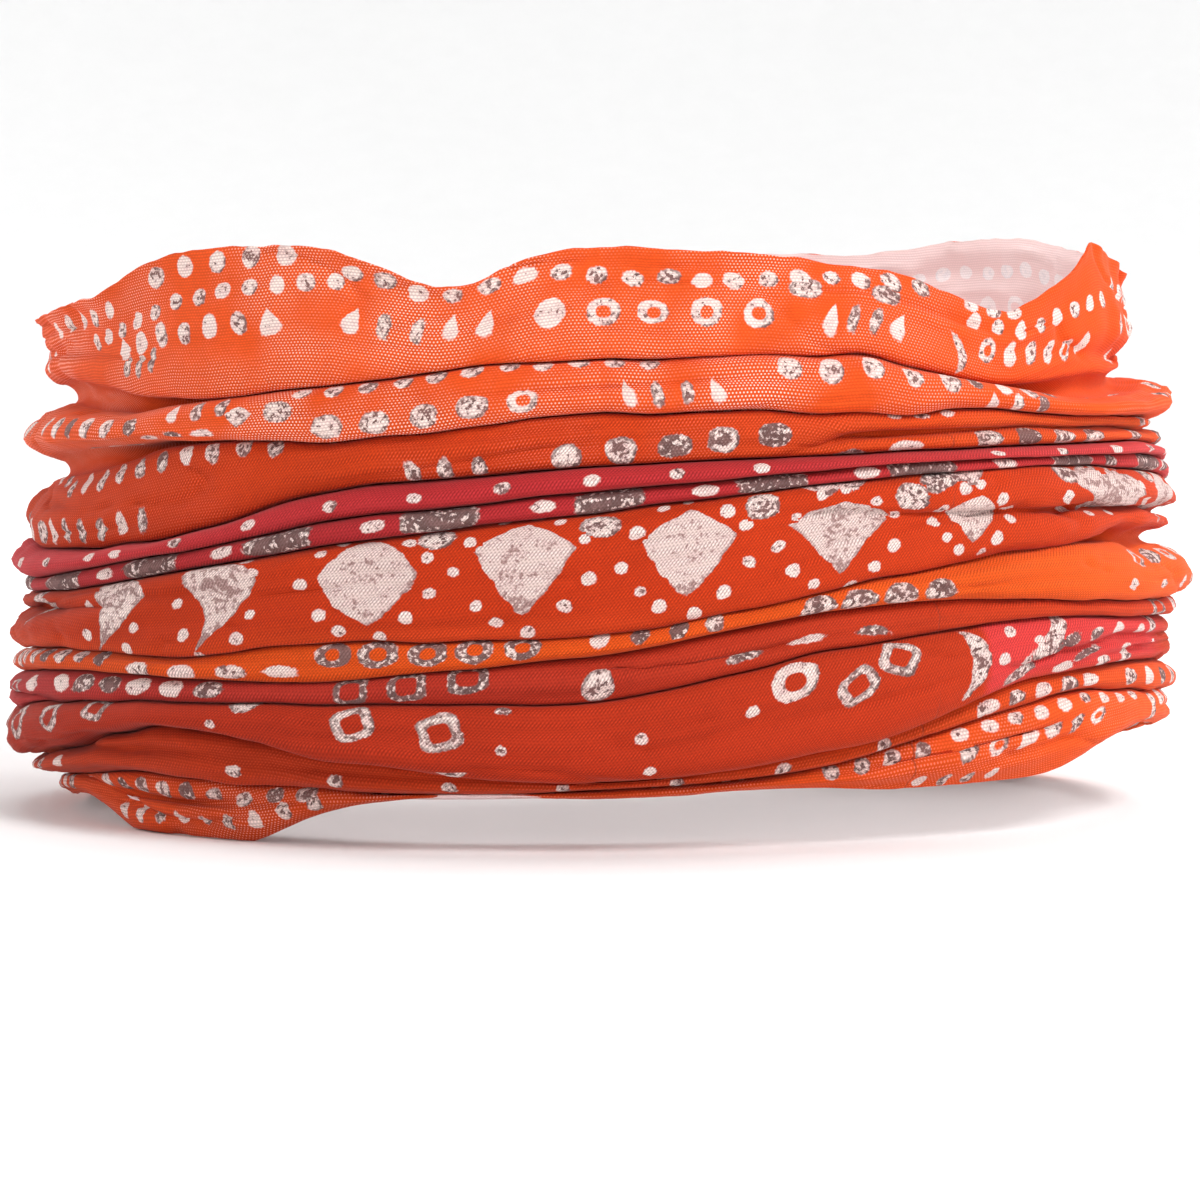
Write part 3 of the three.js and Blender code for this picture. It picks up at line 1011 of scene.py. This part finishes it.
def print_material():
    """The printed outer side: dyed knit with painted side light, painted shade between the stitches
    and painted light on their tops, pale marks with dark flecks, and the print join.
    """
    n = Nodes("printed_knit")
    cloth = n.attribute("cloth")
    u, v, _ = n.split(cloth)
    show, slant, join = n.split(n.attribute("knit"))
    height, brick = stitches(n, u, v, slant)
    heather = n.noise(cloth, 1.1, 2.0)
    depth = (n.noise(cloth, 0.06, 3.0) * 0.30 + 0.86) * (heather * 0.24 + 0.89)
    # The ground is the dye with its painted side light, varied at random.
    ground = n.darken(n.attribute("dye_and_side_light", "Color"), depth)

    paint, fleck, mottle, size = mark_masks(n, cloth, height)
    pale = n.mix(n.ramp(mottle, 0.35, 0.7), (0.88, 0.74, 0.69, 1), (0.80, 0.60, 0.57, 1))
    pale = n.mix(n.ramp(size, 3.5, 5.5) * 0.6, pale, (0.68, 0.54, 0.51, 1))
    ink = n.mix(n.ramp(mottle, 0.42, 0.62), (0.030, 0.015, 0.020, 1), (0.12, 0.065, 0.065, 1))
    ink = n.mix(n.ramp(size, 2.5, 5.0), ink, (0.24, 0.135, 0.13, 1))
    marked = n.mix(fleck * (0.94 - n.ramp(size, 1.5, 5.0) * 0.16), pale, ink)
    low = 1.0 - height
    # Between the stitches of a mark, brown: the dyed ground showing there, with painted shade.
    marked = n.mix(low * 0.40, marked, (0.34, 0.15, 0.12, 1))
    colour = n.mix(paint * 0.97, ground, marked)

    # Painted shade in the pits between stitches and painted light on their tops, stronger in a twill.
    colour = n.darken(colour, slant * 0.20 + 1.12 - low * (slant * 0.62 + 0.40))
    stretched = n.ramp(n.noise(cloth, 0.07, 2.0), 0.36, 0.64)
    open_knit = n.ramp(brick, 0.25, 0.72) * show * stretched
    colour = n.mix(open_knit * 0.95, colour, (1.0, 0.78, 0.70, 1))
    line = 1.0 - n.ramp(join, 0.06, 0.26)
    colour = n.mix(line * 0.55, colour, (0.16, 0.035, 0.02, 1))
    n.shade(Base_Color=colour, Roughness=heather * 0.14 + 0.78)
    finish_cloth(n, height - line * 0.8, cloth)
    return n.material


def reverse_material():
    """The unprinted inner side: pale pink, with the print's ghost showing through, and painted shade
    between the stitches.
    """
    n = Nodes("knit_reverse")
    cloth = n.attribute("cloth")
    u, v, _ = n.split(cloth)
    height, _ = stitches(n, u, v, 0.0)
    paint, fleck, mottle, _ = mark_masks(n, cloth, height)
    streak = n.noise(n.join(u * 6.0, v), 0.10, 3.0)
    # A little of the front's dye shows through, its painted side light and all.
    colour = n.mix(0.16, (0.95, 0.77, 0.76, 1), n.attribute("dye_and_side_light", "Color"))
    colour = n.mix(streak * 0.35, colour, (0.94, 0.78, 0.77, 1))
    colour = n.mix(paint * 0.6, colour, (0.97, 0.95, 0.95, 1))
    colour = n.mix(paint * fleck * 0.20, colour, (0.50, 0.52, 0.60, 1))
    # Painted shade in the pits between stitches.
    n.shade(Base_Color=n.darken(colour, height * 0.14 + 0.90), Roughness=mottle * 0.1 + 0.80)
    finish_cloth(n, height, cloth)
    return n.material


def finish_cloth(n, height, cloth):
    """Sheen, soft gloss and the relief of the stitches, alike on both sides."""
    relief = height * 0.8 + n.noise(cloth, 0.9, 3.0) * 0.6
    n.shade(Normal=n.bump(relief, 0.5, 0.00013), Sheen_Weight=0.05, Sheen_Roughness=0.4,
            Specular_IOR_Level=0.12)


PRINTED, REVERSE = print_material(), reverse_material()


# ---------------------------------------------------------------- meshes

def corner_grid(values):
    """A per-vertex array's values at the four corners of each quad, columns closed round the oval."""
    right = np.roll(values, -1, axis=1)
    return np.stack([values[:-1], values[1:], right[1:], right[:-1]], axis=2)


def strip(name, first, last, marks):
    """One piece of the cloth, rows first to last: printed layer, reverse layer and the rims."""
    rows, cells = last - first + 1, (last - first) * COLUMNS
    half = normals[first:last + 1] * CLOTH / 2
    middle = points[first:last + 1]
    places = np.concatenate([(middle + half).reshape(-1, 3), (middle - half).reshape(-1, 3)]) * MM
    index = np.arange(rows * COLUMNS).reshape(rows, COLUMNS)
    corners = corner_grid(index).reshape(-1, 4)
    under = rows * COLUMNS
    beside = np.roll(index, -1, axis=1)
    top_rim = np.stack([index[0], beside[0], beside[0] + under, index[0] + under], axis=1)
    bottom_rim = np.stack([index[-1], index[-1] + under, beside[-1] + under, beside[-1]], axis=1)
    quads = np.concatenate([corners, corners[:, ::-1] + under, top_rim, bottom_rim])

    mesh = bpy.data.meshes.new(name)
    mesh.vertices.add(len(places))
    mesh.vertices.foreach_set("co", places.astype(np.float32).ravel())
    mesh.loops.add(quads.size)
    mesh.loops.foreach_set("vertex_index", quads.astype(np.int32).ravel())
    mesh.polygons.add(len(quads))
    mesh.polygons.foreach_set("loop_start", np.arange(0, quads.size, 4, dtype=np.int32))
    mesh.materials.append(PRINTED)
    mesh.materials.append(REVERSE)
    material = np.zeros(len(quads), np.int32)
    material[cells:2 * cells] = 1
    mesh.polygons.foreach_set("material_index", material)
    mesh.polygons.foreach_set("use_smooth", np.ones(len(quads), bool))
    mesh.update(calc_edges=True)
    sharpen_rims(mesh, rows)
    add_attributes(mesh, slice(first, last + 1), marks)
    return placed(mesh)


def placed(data):
    """An object for a mesh, light or camera, in the scene."""
    made = bpy.data.objects.new(data.name, data)
    bpy.context.scene.collection.objects.link(made)
    return made


def sharpen_rims(mesh, rows):
    """Marks the edges along both rims as sharp, so that the two sides keep their own shading."""
    ends = np.empty(len(mesh.edges) * 2, np.int32)
    mesh.edges.foreach_get("vertices", ends)
    row = (ends // COLUMNS % rows).reshape(-1, 2)
    on_rim = (row[:, 0] == row[:, 1]) & np.isin(row[:, 0], (0, rows - 1))
    mesh.attributes.new("sharp_edge", "BOOLEAN", "EDGE").data.foreach_set("value", on_rim)


def add_attributes(mesh, span, marks):
    """Writes the cloth's own coordinates, its dye with painted side light and the nearest mark of
    the print to the mesh.
    """
    v = corner_grid(grain_v[span])
    u = np.empty_like(v)
    u[..., :2], u[..., 2:] = round_at[:-1, None], round_at[1:, None]
    u_middle = u.mean(axis=2)
    chosen = nearest_marks(marks, u_middle, v.mean(axis=2))
    nearest = {key: np.array([m[key] for m in marks])[chosen] for key in marks[0]}
    turns = turns_to(nearest, u_middle)[..., None]
    x, y = in_mark({key: values[..., None] for key, values in nearest.items()}, u, v, turns)

    def store(name, kind, domain, values):
        field = mesh.attributes.new(name, kind, domain).data
        part = "color" if kind == "FLOAT_COLOR" else "vector"
        field.foreach_set(part, values.astype(np.float32).ravel())

    def per_corner(name, *values):
        """Three values at the corners of the printed layer, the reverse layer and the two rims."""
        values = np.stack(np.broadcast_arrays(*values), axis=-1)
        outer = values.reshape(-1, 4, 3)
        rims = [values[0][:, [0, 3, 3, 0]], values[-1][:, [1, 1, 2, 2]]]
        store(name, "FLOAT_VECTOR", "CORNER", np.concatenate([outer, outer[:, ::-1], *rims]))

    def per_face(name, *values):
        values = np.stack(values, axis=-1)
        outer = values.reshape(-1, 3)
        store(name, "FLOAT_VECTOR", "FACE", np.concatenate([outer, outer, values[0], values[-1]]))

    per_corner("cloth", u, v, 0.0)
    per_corner("mark_place", x, y, 0.0)
    per_corner("knit", corner_grid(grin[span]), corner_grid(lean[span]), join_distance(u, v))
    per_face("mark_shape", nearest["power"], nearest["taper"], np.minimum(nearest["w"], nearest["h"]))
    per_face("mark_ink", nearest["hole"], nearest["speckle"], nearest["bend"])
    per_face("mark_more", nearest["seed"], nearest["lift"], nearest["tip"])
    layer = np.insert(dye_and_side_light[span].reshape(-1, 3), 3, 1, axis=1)
    store("dye_and_side_light", "FLOAT_COLOR", "POINT", np.concatenate([layer, layer]))


def make_faces(marks, hidden):
    """The faces, each with a few rows of the webs beside it, which ride whole on their folds."""
    for k, (fold, (first, last)) in enumerate(zip(FOLDS, faces)):
        shown = list(marks[k])
        if k != TOP:
            first -= WEB_KEPT
            shown += hidden[k - 1] + marks[k - 1]
        if k != BOTTOM:
            last += WEB_KEPT
            shown += hidden[k] + marks[k + 1]
        piece = strip("cloth_" + fold["name"], first, last, shown)
        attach(piece, fold["name"])
        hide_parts(fold["name"])
        yield piece, first, last


def make_pleats(marks, hidden):
    """The middle of each web, a piece of its own.

    The web's own shape is then put back."""
    for k, (first, last) in enumerate(webs):
        first, last = first + WEB_KEPT, last - WEB_KEPT
        piece = strip(f"pleat_{k + 1}", first, last, hidden[k] + marks[k] + marks[k + 1])
        vertices, rows = piece.data.vertices, last - first + 1
        shape, unfolded = np.empty(len(vertices) * 3, np.float32), np.zeros((len(vertices), 3), np.float32)
        vertices.foreach_get("co", shape)
        unfolded[:, 2] = -(np.arange(len(vertices)) // COLUMNS % rows) / (rows - 1)
        vertices.foreach_set("co", unfolded.ravel())
        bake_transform(piece)
        vertices.foreach_set("co", shape)
        piece.data.update()
        yield piece, first, last


def make_cloth():
    """The whole cloth, piece by piece."""
    marks = printed_marks()
    hidden = [list(web_marks(k)) for k in range(len(webs))]
    for piece, first, last in [*make_faces(marks, hidden), *make_pleats(marks, hidden)]:
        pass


make_cloth()


# ---------------------------------------------------------------- floor, light and camera

FLOOR_REACH, FLOOR_BEND, WALL_HEIGHT = 2.2, 1.8, 2.6  # metres, like all sizes below
BEND_STEPS, FLOOR_SIDES = 16, 72
COLLAR = (0, 0, 0.045)
SOFTBOXES = [  # name, place, size and watts
    ("key", (0.5, -0.75, 0.85), (0.5, 0.4), 10.5),
    ("fill", (-0.9, -0.6, 0.40), (0.7, 0.6), 0.7),
    ("rim_left", (-0.75, 0.35, 0.35), (0.4, 0.5), 2.4),
    ("rim_right", (0.85, 0.35, 0.35), (0.4, 0.5), 3.5),
    ("overhead", (0, 0.25, 1.1), (1.0, 0.8), 6),
]
WASH_POWER = 44


def studio():
    """A pale round floor that sweeps up into a low wall all round."""
    sides = FLOOR_SIDES
    profile = [(1.2, 0.0), (FLOOR_REACH, 0.0)]
    for i in range(1, BEND_STEPS + 1):
        a = math.pi / 2 * i / BEND_STEPS
        profile.append((FLOOR_REACH + FLOOR_BEND * math.sin(a), FLOOR_BEND - FLOOR_BEND * math.cos(a)))
    profile.append((FLOOR_REACH + FLOOR_BEND, WALL_HEIGHT))
    turns = [FULL_TURN * j / sides for j in range(sides)]
    verts = [(r * math.cos(t), r * math.sin(t), z) for r, z in profile for t in turns] + [(0, 0, 0)]
    beside = [(j + 1) % sides for j in range(sides)]
    quads = [((i + 1) * sides + j, (i + 1) * sides + beside[j], i * sides + beside[j], i * sides + j)
             for i in range(len(profile) - 1) for j in range(sides)]
    middle = [(j, beside[j], len(verts) - 1) for j in range(sides)]
    mesh = bpy.data.meshes.new("floor")
    mesh.from_pydata(verts, [], quads + middle)
    mesh.polygons.foreach_set("use_smooth", [True] * len(mesh.polygons))
    paper = Nodes("paper")
    speck = paper.noise(paper.add("TexCoord", {}, "Object")[1], 40.0, 3.0)
    paper.shade(Base_Color=paper.mix(speck, (0.86, 0.86, 0.86, 1), (0.89, 0.89, 0.89, 1)), Roughness=0.9)
    mesh.materials.append(paper.material)
    placed(mesh)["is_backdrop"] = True


def softbox(name, place, target, size, power):
    """A large rectangular light that faces its target."""
    light = bpy.data.lights.new(name, "AREA")
    light.shape, light.size, light.size_y = "RECTANGLE", *size
    light.energy = power
    lamp = placed(light)
    lamp.location = place
    lamp.rotation_euler = (Vector(target) - Vector(place)).to_track_quat("-Z", "Y").to_euler()


def lighting():
    """Softboxes round the collar, four more on the wall behind it, and a dim white surrounding."""
    for name, place, size, power in SOFTBOXES:
        softbox(name, place, COLLAR, size, power)
    for i in range(4):
        x, y = math.sin(math.pi / 2 * i), math.cos(math.pi / 2 * i)
        softbox(f"wash_{i + 1}", (x, y, 1.5), (2.8 * x, 2.8 * y, 0.3), (1.8, 0.9), WASH_POWER)
    world = bpy.data.worlds.new("studio")
    world.use_nodes = True
    background = world.node_tree.nodes["Background"].inputs
    background["Color"].default_value, background["Strength"].default_value = (1, 1, 1, 1), 0.18
    bpy.context.scene.world = world
    bpy.context.scene.view_settings.view_transform = "Standard"


CAMERA_DISTANCE = 0.62
CAMERA_RISE = math.radians(3.5)
CAMERA_AIM = Vector((0, 0, 0.0328))
FIELD_WIDTH = 0.1938  # width that fills the picture, at the middle of the collar
SENSOR = 36.0  # in mm


def camera():
    """Level with the collar and a little above it, as near as the product is usually shot."""
    data = bpy.data.cameras.new("camera")
    data.sensor_width = SENSOR
    data.lens = SENSOR * CAMERA_DISTANCE / FIELD_WIDTH
    eye = placed(data)
    away = Vector((0, -math.cos(CAMERA_RISE), math.sin(CAMERA_RISE))) * CAMERA_DISTANCE
    eye.location = CAMERA_AIM + away
    eye.rotation_euler = (-away).to_track_quat("-Z", "Y").to_euler()
    bpy.context.scene.camera = eye


studio()
lighting()
camera()


# ---------------------------------------------------------------- boxes of the CAD model and of the scene

def write_sizes():
    boxes = {"cad": cad_box, "visual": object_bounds()}
    {name: [list(low), list(high)] for name, (low, high) in boxes.items()}


write_sizes()
